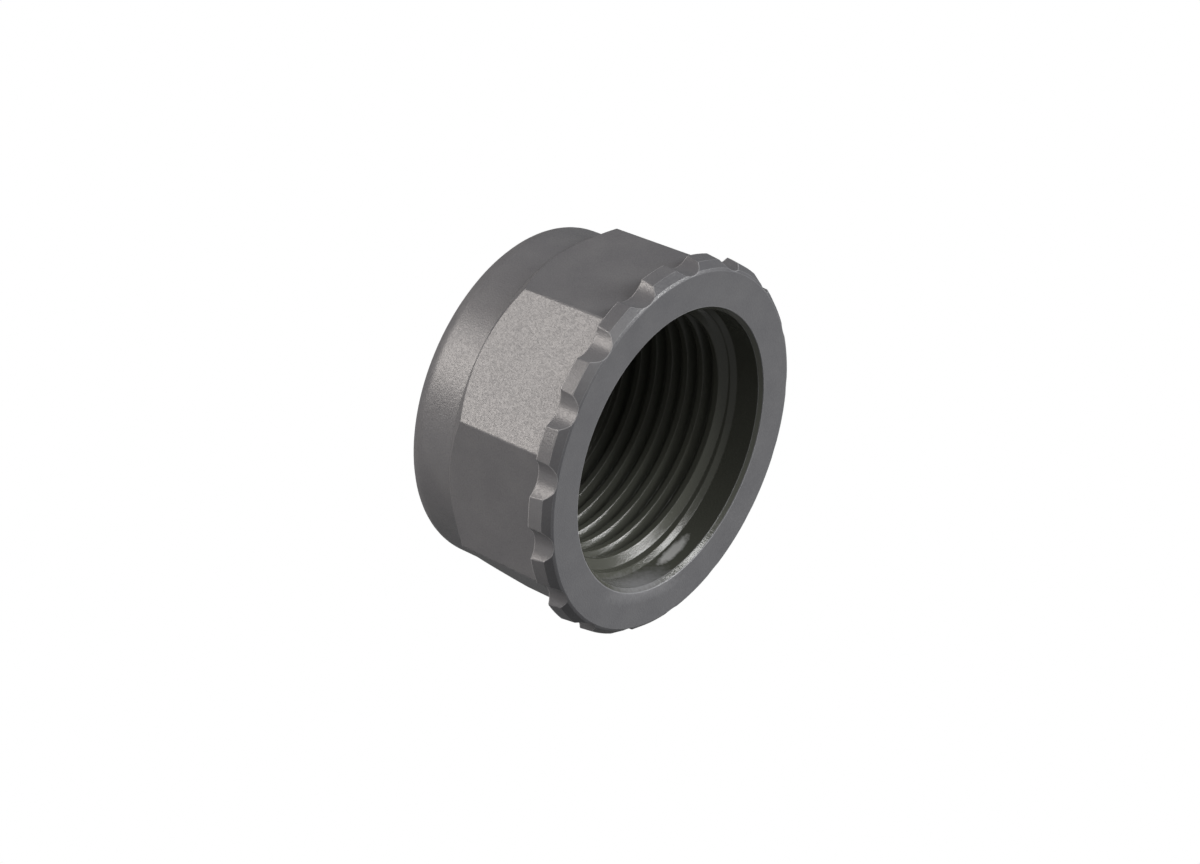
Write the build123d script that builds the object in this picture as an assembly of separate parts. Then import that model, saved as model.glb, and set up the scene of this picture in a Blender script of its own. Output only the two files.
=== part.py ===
from build123d import *
from math import ceil, radians, tan
import os

# Threaded end cap for a one inch parallel pipe thread, injection moulded in one piece.
# Millimetres and degrees. The closed end rests on z = 0 and the mouth points up along +Z.
# One flat faces +X, and the axis of the cap is the Z axis.

# Whole cap
height = 23.6
draft_angle = 1.7             # every outside wall below the ring narrows towards the closed end
floor_thickness = 3.8

# Octagonal body, turned with a wrench
flat_count = 8
across_flats = 42.0           # where the body meets the ring
flat_corner_radius = 0.4

# Round closed end
round_end_height = 6.9        # from the closed end up to where the flats begin
flat_step = 0.15              # the middle of each flat stands this far out from the round end
flat_end_angle = 45           # slope of the cone that trims the corners above the round end
end_edge_radius = 2.6

# Scalloped grip ring round the mouth
ring_height = 2.95
ring_diameter = 46.5          # across the lands, at the back of the ring
land_draft_angle = 6.0
face_diameter = 44.5          # outside edge of the flat front face
face_bevel_height = 1.1       # along the axis, from the lands up to the front face
scallop_count = 17
scallop_radius = 3.15
scallop_depth = 1.1           # at the back of the ring
land_angle = -45              # one land is centred over the flat at this angle
scallop_edge_radius = 0.2     # rounds the edges between each scallop and its lands
ring_back_chamfer = 0.12
face_edge_chamfer = 0.2       # between the bevel and the front face

# Mouth and socket: the wall of the socket stands at the thread's major diameter
counterbore_diameter = 34.4
counterbore_depth = 3.65
mouth_chamfer = 0.5
lead_in_angle = 45            # cone between the counterbore and the socket
floor_corner_chamfer = 0.3

# Parallel pipe thread, right-hand: one helical ridge with flat crests
thread_major_diameter = 33.249
thread_minor_diameter = 30.93 # upper limit for this thread, so the flat crests are wide
thread_pitch = 2.309
thread_angle = 55             # between the two flanks of the ridge
thread_depth_ratio = 0.640327 # depth of the full thread form over its pitch
crest_drop = 5.70             # from the mouth down to the highest whole turn's crest, at the angle below
crest_drop_angle = 186
thread_end_angle = 300        # where the ridge ends bluntly, just below the lead-in cone
thread_end_gap = 0.1          # between the lead-in cone and the top of the ridge
thread_end_chamfer = 0.8      # trims the crest at the top of the ridge
ridge_root = 0.2              # how far the ridge is sunk into the wall
crest_trim = 0.1              # how much of the ridge the minor diameter takes off

# Heights and radii that follow from the sizes above
ring_back = height - ring_height
ring_radius = ring_diameter / 2
face_radius = face_diameter / 2
bevel_start = height - face_bevel_height
land_front_radius = ring_radius - (bevel_start - ring_back) * tan(radians(land_draft_angle))
scallop_centre_radius = ring_radius - scallop_depth + scallop_radius
socket_radius = thread_major_diameter / 2
crest_radius = thread_minor_diameter / 2
pitch_radius = socket_radius - thread_depth_ratio * thread_pitch / 2
counterbore_radius = counterbore_diameter / 2
counterbore_floor = height - counterbore_depth
lead_in_height = (counterbore_radius - socket_radius) / tan(radians(lead_in_angle))
thread_start = counterbore_floor - lead_in_height
mouth_radius = counterbore_radius + mouth_chamfer
thread_top = thread_start - thread_end_gap
crest_at_x = height - crest_drop - thread_pitch * crest_drop_angle / 360
body_slope = tan(radians(draft_angle))


def apothem_at(z):
    """Distance from the axis to the middle of a flat at height z."""
    return across_flats / 2 - (ring_back - z) * body_slope


round_radius = apothem_at(round_end_height) - flat_step
closed_end_radius = round_radius - round_end_height * body_slope


def half_section(*points):
    """Closed outline through (radius, height) points, on one side of the axis."""
    return make_face(Polyline(*points, close=True))


def corner_of(section, point):
    """The corner of a section that lies nearest to a (radius, height) point."""
    return section.vertices().sort_by_distance(point)[0]


def turned(section):
    """Solid turned about Z from a half section."""
    return revolve(Plane.XZ * section, Axis.Z)


def rises(edge):
    """Height that an edge climbs from end to end."""
    return abs((edge @ 1).Z - (edge @ 0).Z)


def octagonal_body():
    """Tapered octagon whose corners are cut back by a cone above the round end."""
    prism_height = ring_back - round_end_height
    outline = RegularPolygon(
        apothem_at(ring_back),
        flat_count,
        major_radius=False,
        rotation=180 / flat_count,
    )
    prism = extrude(Plane.XY.offset(ring_back) * outline, -prism_height, taper=draft_angle)
    corners = [edge for edge in prism.edges() if rises(edge) > prism_height / 2]
    prism = fillet(corners, flat_corner_radius)

    cone_height = ring_back - round_end_height
    cone_radius = round_radius + cone_height * tan(radians(flat_end_angle))
    envelope = half_section(
        (0, round_end_height),
        (round_radius, round_end_height),
        (cone_radius, ring_back),
        (0, ring_back),
    )
    return prism & turned(envelope)


def round_end():
    """Closed end: a drafted disc with a large rounded edge."""
    section = half_section(
        (0, 0),
        (closed_end_radius, 0),
        (round_radius, round_end_height),
        (0, round_end_height),
    )
    return turned(fillet(corner_of(section, (closed_end_radius, 0)), end_edge_radius))


def grip_ring():
    """Ring round the mouth, bevelled to its front face and scalloped all round."""
    blank = half_section(
        (0, ring_back),
        (ring_radius, ring_back),
        (land_front_radius, bevel_start),
        (face_radius, height),
        (0, height),
    )
    ring = turned(chamfer(corner_of(blank, (face_radius, height)), face_edge_chamfer))

    cutter = Cylinder(scallop_radius, 2 * ring_height)
    cutter = Pos(scallop_centre_radius, 0, height) * cutter
    first_scallop = land_angle + 180 / scallop_count
    for index in range(scallop_count):
        ring -= Rot(0, 0, first_scallop + index * 360 / scallop_count) * cutter

    land_height = bevel_start - ring_back
    land_sides = [
        edge
        for edge in ring.edges()
        if rises(edge) > land_height / 2 and min((edge @ 0).Z, (edge @ 1).Z) < bevel_start - land_height / 2
    ]
    ring = fillet(land_sides, scallop_edge_radius)
    back_rim = [
        edge
        for edge in ring.edges()
        if max((edge @ 0).Z, (edge @ 1).Z) < ring_back + ring_back_chamfer
    ]
    return chamfer(back_rim, ring_back_chamfer)


def socket():
    """Space inside the cap: mouth chamfer, counterbore, lead-in cone, wall and floor."""
    section = half_section(
        (0, floor_thickness),
        (socket_radius, floor_thickness),
        (socket_radius, thread_start),
        (counterbore_radius, counterbore_floor),
        (counterbore_radius, height - mouth_chamfer),
        (mouth_radius, height),
        (mouth_radius, height + mouth_chamfer),
        (0, height + mouth_chamfer),
    )
    return turned(chamfer(corner_of(section, (socket_radius, floor_thickness)), floor_corner_chamfer))


def ridge_half_width(radius):
    """Half the width of the thread's ridge, measured along the axis at a radius."""
    return thread_pitch / 4 + (radius - pitch_radius) * tan(radians(thread_angle / 2))


def ridge(turns, first_height):
    """Sharp-cornered helical ridge whose first crest stands on the X side at first_height."""
    inner = crest_radius - crest_trim
    outer = socket_radius + ridge_root
    section = half_section(
        (inner, -ridge_half_width(inner)),
        (inner, ridge_half_width(inner)),
        (outer, ridge_half_width(outer)),
        (outer, -ridge_half_width(outer)),
    )
    path = Helix(thread_pitch, thread_pitch * turns, socket_radius)
    return Pos(0, 0, first_height) * sweep(Plane.XZ * section, path, is_frenet=True)


def last_turns():
    """Top of the ridge, cut off below the lead-in cone and chamfered."""
    trim = half_section(
        (0, 0),
        (socket_radius + 2 * ridge_root, 0),
        (socket_radius + 2 * ridge_root, thread_top),
        (crest_radius + thread_end_chamfer, thread_top),
        (crest_radius, thread_top - thread_end_chamfer),
        (0, thread_top - thread_end_chamfer),
    )
    return ridge(thread_end_angle / 360, crest_at_x) & turned(trim)


def thread_bore():
    """Round hole at the minor diameter, which leaves the crests flat."""
    return turned(half_section(
        (0, floor_thickness),
        (crest_radius, floor_thickness),
        (crest_radius, height),
        (0, height),
    ))


turns_below = ceil((crest_at_x - floor_thickness) / thread_pitch)
cap = octagonal_body() + round_end() + grip_ring() - socket()
cap += ridge(turns_below, crest_at_x - turns_below * thread_pitch)
cap += last_turns()
cap -= thread_bore()

os.makedirs("parts", exist_ok=True)
export_step(cap, "parts/threaded_cap.step")
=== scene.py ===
# %% [markdown]
# A threaded protection cap, moulded in one piece from dark grey PVC-U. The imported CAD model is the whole
# shape, its octagon, scalloped ring and pipe thread included, so nothing is modelled again here. This
# lesson adds what the eye reads as plastic, and the camera and light of a plain product picture.
# Everything is in metres, in the same frame as the CAD model.

# %% Load the CAD model
from math import pi, radians

import bmesh
import bpy
from mathutils import Matrix, Vector

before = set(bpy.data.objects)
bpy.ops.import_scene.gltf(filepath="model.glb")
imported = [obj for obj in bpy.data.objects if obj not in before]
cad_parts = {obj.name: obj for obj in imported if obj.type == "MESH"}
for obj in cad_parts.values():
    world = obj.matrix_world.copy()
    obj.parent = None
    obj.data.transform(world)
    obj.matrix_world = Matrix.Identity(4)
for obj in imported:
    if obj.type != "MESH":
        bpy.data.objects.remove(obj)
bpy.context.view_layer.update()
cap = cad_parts["threaded_cap"]
MM = 0.001

# %% [markdown]
# The picture was taken with a long lens, from a little above the rim of the mouth, and the camera was
# rolled over so that the cap seems to lie on its side. The object could be tipped over instead, but it
# must keep the place that the CAD model gives it. A Blender camera looks along its own -Z, so it is
# turned to its compass direction and its height first, and then rolled about the line of sight.

# %% Camera
VIEW_AZIMUTH = radians(6.08)
VIEW_ELEVATION = radians(31.73)
VIEW_ROLL = radians(112.69)
VIEW_DISTANCE = 814.05 * MM
AIM_POINT = Vector((4.36, 1.71, 16.3)) * MM

camera_data = bpy.data.cameras.new("camera")
camera_data.sensor_width = 36
camera_data.lens = 210
camera_data.clip_start = 0.05
camera_data.clip_end = 20
camera = bpy.data.objects.new("camera", camera_data)
bpy.context.collection.objects.link(camera)
camera_turn = (
    Matrix.Rotation(VIEW_AZIMUTH + pi / 2, 4, "Z")
    @ Matrix.Rotation(pi / 2 - VIEW_ELEVATION, 4, "X")
    @ Matrix.Rotation(VIEW_ROLL, 4, "Z")
)
sight_line = camera_turn.to_3x3() @ Vector((0, 0, 1))
camera.matrix_world = Matrix.Translation(AIM_POINT + sight_line * VIEW_DISTANCE) @ camera_turn
bpy.context.scene.camera = camera
print("camera at", [round(value, 4) for value in camera.matrix_world.translation])

# %% [markdown]
# Colours are read off a swatch as sRGB, but Blender mixes light in linear values, so one function turns
# the first into the second. A material here is written as text and not drawn as boxes and wires, so a
# second function adds one node with its settings and its links.

# %% Helpers for materials
def linear(hex_colour):
    """Linear RGBA of an sRGB colour such as "8A8B8C"."""
    channels = [int(hex_colour[start:start + 2], 16) / 255 for start in (0, 2, 4)]
    return [c / 12.92 if c <= 0.04045 else ((c + 0.055) / 1.055) ** 2.4 for c in channels] + [1.0]


def add_node(material, kind, inputs, **settings):
    """Adds a node, sets its properties, and sets or links each of its inputs."""
    node = material.node_tree.nodes.new(kind)
    for name, value in settings.items():
        setattr(node, name, value)
    for socket, value in inputs.items():
        if isinstance(value, bpy.types.NodeSocket):
            material.node_tree.links.new(value, node.inputs[socket])
        else:
            node.inputs[socket].default_value = value
    return node


def new_material(name):
    """An empty node material and its output node."""
    material = bpy.data.materials.new(name)
    material.use_nodes = True
    material.node_tree.nodes.clear()
    output = material.node_tree.nodes.new("ShaderNodeOutputMaterial")
    return material, output


print("mid grey in linear light:", [round(value, 3) for value in linear("808080")])

# %% [markdown]
# The real cap is injection-moulded PVC-U: dark grey and finely matt outside, and glossier in the socket,
# where the mould's polished core shaped it and nothing has rubbed it since. The socket is also given a
# darker tone, which is painted shade for its deep hollow. Two materials could be given to two sets of
# faces, but the CAD mesh is left alone, so one material tells the socket from the outside by where a
# point lies: near the axis, and above the closed end.

# %% Where a point lies on the cap
SOCKET_EDGE = 17.6 * MM
SOCKET_LOW = 2 * MM

# Moulded PVC-U gives the eye a dull, slightly soft sheen, and no clear reflections.
moulded, moulded_output = new_material("moulded_grey_pvc")
place = add_node(moulded, "ShaderNodeTexCoord", {}).outputs["Object"]
flat_place = add_node(
    moulded, "ShaderNodeVectorMath", {0: place, 1: (1, 1, 0)}, operation="MULTIPLY"
).outputs[0]
from_axis = add_node(
    moulded, "ShaderNodeVectorMath", {0: flat_place}, operation="LENGTH"
).outputs["Value"]
height = add_node(moulded, "ShaderNodeSeparateXYZ", {"Vector": place}).outputs["Z"]
narrow = add_node(
    moulded, "ShaderNodeMath", {0: from_axis, 1: SOCKET_EDGE}, operation="LESS_THAN"
).outputs[0]
above = add_node(
    moulded, "ShaderNodeMath", {0: height, 1: SOCKET_LOW}, operation="GREATER_THAN"
).outputs[0]
inside = add_node(moulded, "ShaderNodeMath", {0: narrow, 1: above}, operation="MULTIPLY").outputs[0]
outside = add_node(moulded, "ShaderNodeMath", {0: 1.0, 1: inside}, operation="SUBTRACT").outputs[0]
print("socket: within", SOCKET_EDGE / MM, "mm of the axis and above", SOCKET_LOW / MM, "mm")

# %% [markdown]
# A spark-eroded mould leaves a grain of about a tenth of a millimetre, which is too fine to show here, so
# it is drawn at a fifth of a millimetre. A larger cloudy noise varies the grey a little, as mixed plastic
# does. Each noise lies round one half, so their sum lies round one.

# %% Grain and tone
GRAIN_SIZE = 0.2 * MM
CLOUD_SIZE = 4 * MM
SKIN_DARK = "57575A"
SKIN_LIGHT = "616163"
# The socket's tone is darker than the skin's: painted shade for the deep hollow.
SOCKET_SHADE_TONE = "4D4E47"
DARKEST = 0.7
LIGHTEST = 1.3
grain = add_node(
    moulded, "ShaderNodeTexNoise", {"Vector": place, "Scale": 1 / GRAIN_SIZE, "Detail": 2.0}
).outputs["Fac"]
cloud = add_node(
    moulded, "ShaderNodeTexNoise", {"Vector": place, "Scale": 1 / CLOUD_SIZE, "Detail": 3.0}
).outputs["Fac"]
mottle = add_node(moulded, "ShaderNodeMath", {0: grain, 1: cloud}, operation="ADD").outputs[0]
mottle = add_node(
    moulded, "ShaderNodeMapRange", {"Value": mottle, "From Min": DARKEST, "From Max": LIGHTEST}
).outputs["Result"]
tone = add_node(
    moulded,
    "ShaderNodeMix",
    {"Factor": mottle, "A": linear(SKIN_DARK), "B": linear(SKIN_LIGHT)},
    data_type="RGBA",
).outputs["Result"]
# Inside the socket the tone turns darker here: painted shade.
tone = add_node(
    moulded,
    "ShaderNodeMix",
    {"Factor": inside, "A": tone, "B": linear(SOCKET_SHADE_TONE)},
    data_type="RGBA",
).outputs["Result"]
print("grain and cloud in millimetres:", round(GRAIN_SIZE / MM, 2), round(CLOUD_SIZE / MM, 2))

# %% [markdown]
# Handling rubs the sharp edges of moulded plastic, and they turn lighter. The lighter edge tone here is
# that wear, and it is also a painted highlight: the thin light lines that rounded edges catch. Painting
# each edge would take a mask per edge. The Bevel node instead gives the normal of a slightly rounded
# surface, so wherever it departs from the true normal there is an edge. The same rounded normal also
# goes to the shader, and each edge then catches a thin line of light, as the real one does. The lighter
# tone is kept to the ring, the upper flats and the rim of the mouth, the parts that a hand or a wrench
# touches, and not the socket.
# The two normals agree by the cosine of the angle between them: 0.995 is 6 degrees, 0.93 is 22.

# %% Worn edges, with painted edge highlights
EDGE_ROUNDING = 0.2 * MM
NO_EDGE = 0.995
FULL_EDGE = 0.93
MOST_WEAR_AND_HIGHLIGHT = 0.8
# The lighter edge tone is wear and also a painted highlight along the edges.
WORN_AND_HIGHLIGHT_TONE = "A6A6A8"
WEAR_AND_HIGHLIGHT_FROM = 8.5 * MM
WEAR_AND_HIGHLIGHT_FULL = 12 * MM
MOUTH_RIM = 22.8 * MM
rounded = add_node(moulded, "ShaderNodeBevel", {"Radius": EDGE_ROUNDING}, samples=8).outputs["Normal"]
true_normal = add_node(moulded, "ShaderNodeNewGeometry", {}).outputs["True Normal"]
agreement = add_node(
    moulded, "ShaderNodeVectorMath", {0: rounded, 1: true_normal}, operation="DOT_PRODUCT"
).outputs["Value"]
edge = add_node(
    moulded,
    "ShaderNodeMapRange",
    {"Value": agreement, "From Min": NO_EDGE, "From Max": FULL_EDGE, "To Max": MOST_WEAR_AND_HIGHLIGHT},
).outputs["Result"]
wear_and_highlight_reach = add_node(
    moulded, "ShaderNodeMapRange", {"Value": height, "From Min": WEAR_AND_HIGHLIGHT_FROM, "From Max": WEAR_AND_HIGHLIGHT_FULL}
).outputs["Result"]
wear_and_highlight_reach = add_node(
    moulded, "ShaderNodeMath", {0: wear_and_highlight_reach, 1: outside}, operation="MULTIPLY"
).outputs[0]
rim = add_node(
    moulded, "ShaderNodeMath", {0: height, 1: MOUTH_RIM}, operation="GREATER_THAN"
).outputs[0]
wear_and_highlight_reach = add_node(moulded, "ShaderNodeMath", {0: wear_and_highlight_reach, 1: rim}, operation="MAXIMUM").outputs[0]
edge = add_node(moulded, "ShaderNodeMath", {0: edge, 1: wear_and_highlight_reach}, operation="MULTIPLY").outputs[0]
# Edges are painted lighter here: wear, and a painted highlight.
tone = add_node(
    moulded,
    "ShaderNodeMix",
    {"Factor": edge, "A": tone, "B": linear(WORN_AND_HIGHLIGHT_TONE)},
    data_type="RGBA",
).outputs["Result"]
print("edges are rounded in the light by", EDGE_ROUNDING / MM, "mm")

# %% [markdown]
# One side of the counterbore is painted lighter, which is painted light, and one place of it has a pale
# patch with a ragged edge. Each is a stretched ball of lighter tone: a Mapping node gives each point its
# place in the ball, the distance from the ball's middle gives the form, and noise makes the outline
# ragged. The painted light fades out slowly, and the pale patch has a clear edge. Each row below gives
# the middle and the reach in millimetres, the turn about the axis in degrees, the distance inside which
# the tone is whole, and the tone.

# %% Painted light and a pale patch in the counterbore
RAGGED_SIZE = 0.5 * MM
RAGGEDNESS = 0.6
OUTLINE = 1.35
ragged = add_node(
    moulded, "ShaderNodeTexNoise", {"Vector": place, "Scale": 1 / RAGGED_SIZE, "Detail": 3.0}
).outputs["Fac"]
# The first row is painted light on one side of the counterbore; the second is a pale patch.
LIGHTER_PLACES = [
    ("painted light side", (-7.6, 15.4, 22.4), (2.0, 8.5, 3.0), 116.0, 0.4, "848486"),
    ("pale patch", (-14.38, 9.44, 21.05), (1.2, 3.2, 0.85), 146.7, 0.85, "B4B4B2"),
]
for name, middle, reach, turn, whole, colour in LIGHTER_PLACES:
    ball = add_node(
        moulded,
        "ShaderNodeMapping",
        {
            "Vector": place,
            "Location": [value * MM for value in middle],
            "Rotation": (0, 0, radians(turn)),
            "Scale": [value * MM for value in reach],
        },
        vector_type="TEXTURE",
    ).outputs["Vector"]
    from_middle = add_node(
        moulded, "ShaderNodeVectorMath", {0: ball}, operation="LENGTH"
    ).outputs["Value"]
    from_middle = add_node(
        moulded, "ShaderNodeMath", {0: ragged, 1: RAGGEDNESS, 2: from_middle}, operation="MULTIPLY_ADD"
    ).outputs[0]
    lightening = add_node(
        moulded, "ShaderNodeMapRange", {"Value": from_middle, "From Min": OUTLINE, "From Max": whole}
    ).outputs["Result"]
    tone = add_node(
        moulded,
        "ShaderNodeMix",
        {"Factor": lightening, "A": tone, "B": linear(colour)},
        data_type="RGBA",
    ).outputs["Result"]
    print(name, "reaches", reach, "mm from its middle")

# %% [markdown]
# PVC-U has an IOR of about 1.53. Its moulded skin, with a roughness of 0.3 to 0.45, is matt enough to
# spread a lamp over a whole flat, and the socket, at 0.17, is nearly polished. The facets of the skin's
# grain are more and less matt, which shows as salt and pepper where the lamp is mirrored. Smooth noise
# draws worms there, so Voronoi cells are used, each with its own random value. A faint bump from the
# smooth grain breaks up the highlights on round parts.

# %% Gloss and bump
PVC_IOR = 1.53
SKIN_ROUGHNESS = (0.31, 0.45)
SPECKLE_RANGE = (0.2, 0.8)
SOCKET_ROUGHNESS = 0.17
GRAIN_HEIGHT = 0.03 * MM
BUMP_STRENGTH = 0.8
speckle = add_node(
    moulded, "ShaderNodeTexVoronoi", {"Vector": place, "Scale": 1 / GRAIN_SIZE}
).outputs["Color"]
matt = add_node(
    moulded,
    "ShaderNodeMapRange",
    {
        "Value": speckle,
        "From Min": SPECKLE_RANGE[0],
        "From Max": SPECKLE_RANGE[1],
        "To Min": SKIN_ROUGHNESS[0],
        "To Max": SKIN_ROUGHNESS[1],
    },
).outputs["Result"]
gloss = add_node(
    moulded, "ShaderNodeMix", {"Factor": inside, "A": matt, "B": SOCKET_ROUGHNESS}, data_type="FLOAT"
).outputs["Result"]
bump = add_node(
    moulded,
    "ShaderNodeBump",
    {"Strength": BUMP_STRENGTH, "Distance": GRAIN_HEIGHT, "Height": grain, "Normal": rounded},
).outputs["Normal"]
shader = add_node(
    moulded,
    "ShaderNodeBsdfPrincipled",
    {"Base Color": tone, "Roughness": gloss, "IOR": PVC_IOR, "Normal": bump},
).outputs["BSDF"]
moulded.node_tree.links.new(shader, moulded_output.inputs["Surface"])
# The slot is linked to the object, so that the CAD mesh itself stays as it is.
cap.material_slots[0].link = "OBJECT"
cap.material_slots[0].material = moulded
print("nodes in the plastic:", len(moulded.node_tree.nodes))

# %% [markdown]
# The ground of the picture is pure white and shows no shadow, as in a light tent. A lit white floor
# would turn grey away from the lamps, so this tent glows by itself, and it neither lights the cap nor
# shows in its gloss, which keeps the plastic as dark as it is in the picture. It casts no shadow either,
# because two of the lamps stand below its floor. The floor is a twentieth of a millimetre below the
# cap, because two faces in one plane flicker, and the cloth shows from the inside only, so that the
# closed end can be seen from below.

# %% Light tent and its floor
TENT_SIZE = 2.2
FLOOR_GAP = 0.05 * MM
floor_mesh = bpy.data.meshes.new("floor")
floor_form = bmesh.new()
bmesh.ops.create_cube(floor_form, size=TENT_SIZE)
bmesh.ops.translate(floor_form, verts=floor_form.verts[:], vec=(0, 0, TENT_SIZE / 2 - FLOOR_GAP))
bmesh.ops.reverse_faces(floor_form, faces=floor_form.faces[:])
floor_form.to_mesh(floor_mesh)
floor_form.free()
floor = bpy.data.objects.new("floor", floor_mesh)
bpy.context.collection.objects.link(floor)
# Glowing cloth gives the eye an even white, with no folds and no shade.
tent_cloth, tent_output = new_material("white_light_tent")
glow = add_node(
    tent_cloth, "ShaderNodeEmission", {"Color": linear("FFFFFF"), "Strength": 1.0}
).outputs["Emission"]
clear = add_node(tent_cloth, "ShaderNodeBsdfTransparent", {}).outputs["BSDF"]
from_outside = add_node(tent_cloth, "ShaderNodeNewGeometry", {}).outputs["Backfacing"]
one_sided = add_node(
    tent_cloth, "ShaderNodeMixShader", {0: from_outside, 1: glow, 2: clear}
).outputs["Shader"]
tent_cloth.node_tree.links.new(one_sided, tent_output.inputs["Surface"])
floor_mesh.materials.append(tent_cloth)
floor.visible_glossy = False
floor.visible_diffuse = False
floor.visible_shadow = False
print("tent faces:", len(floor_mesh.polygons), "floor at", round(-FLOOR_GAP / MM, 2), "mm")

# %% [markdown]
# Dark plastic is lit by what it mirrors, so each softbox stands where one kind of surface mirrors it
# into the lens. The key is mirrored by one flat of the octagon, the crest light by the rounded edges of
# the thread's crests, and the cone light by the lead-in cone. The front light fills, and two low ones
# lift the front face and the underside. Directions are given as the picture has them: right, up, and
# back towards the camera. Distances and sizes are in metres, and powers in watts.

# %% Lights
LIT_POINT = Vector((0, 0, 12 * MM))


def softbox(name, right, up, back, distance, size, power, colour="FFFFFF"):
    """A square area light that faces the cap, placed by the picture's own directions."""
    data = bpy.data.lights.new(name, "AREA")
    data.size = size
    data.energy = power
    data.color = linear(colour)[:3]
    light = bpy.data.objects.new(name, data)
    bpy.context.collection.objects.link(light)
    way = (camera_turn.to_3x3() @ Vector((right, up, back))).normalized()
    light.matrix_world = (
        Matrix.Translation(LIT_POINT + way * distance) @ way.to_track_quat("Z", "Y").to_matrix().to_4x4()
    )
    print(name, "at", [round(value, 2) for value in light.matrix_world.translation])


softbox("key", -0.836, 0.384, 0.392, 0.6, 0.4, 4.3, "FFF8F2")
softbox("front", 0.368, 0.481, 0.796, 1.0, 0.5, 1.7)
softbox("crest_light", 0.94, 0.26, 0.14, 1.0, 0.35, 6.0)
softbox("cone_light", 0.75, 0.46, 0.47, 1.0, 0.3, 3.4)
softbox("low", 0.761, -0.351, -0.546, 1.0, 0.5, 0.45)
softbox("under", -0.833, -0.483, 0.271, 1.0, 0.5, 0.8)

# %% [markdown]
# A studio's white walls send a little light from all round. The world does the same here, and is kept
# weak, because it also lights the inside of the socket, which is nearly black. The Standard view
# transform shows each grey as it is mixed, where the usual one would flatten it.

# %% Even light from all round
WALL_LIGHT = 0.175
world = bpy.data.worlds.new("studio")
bpy.context.scene.world = world
world.use_nodes = True
world.node_tree.nodes["Background"].inputs["Color"].default_value = linear("FFFFFF")
world.node_tree.nodes["Background"].inputs["Strength"].default_value = WALL_LIGHT
bpy.context.scene.view_settings.view_transform = "Standard"
print("light from all round:", WALL_LIGHT)
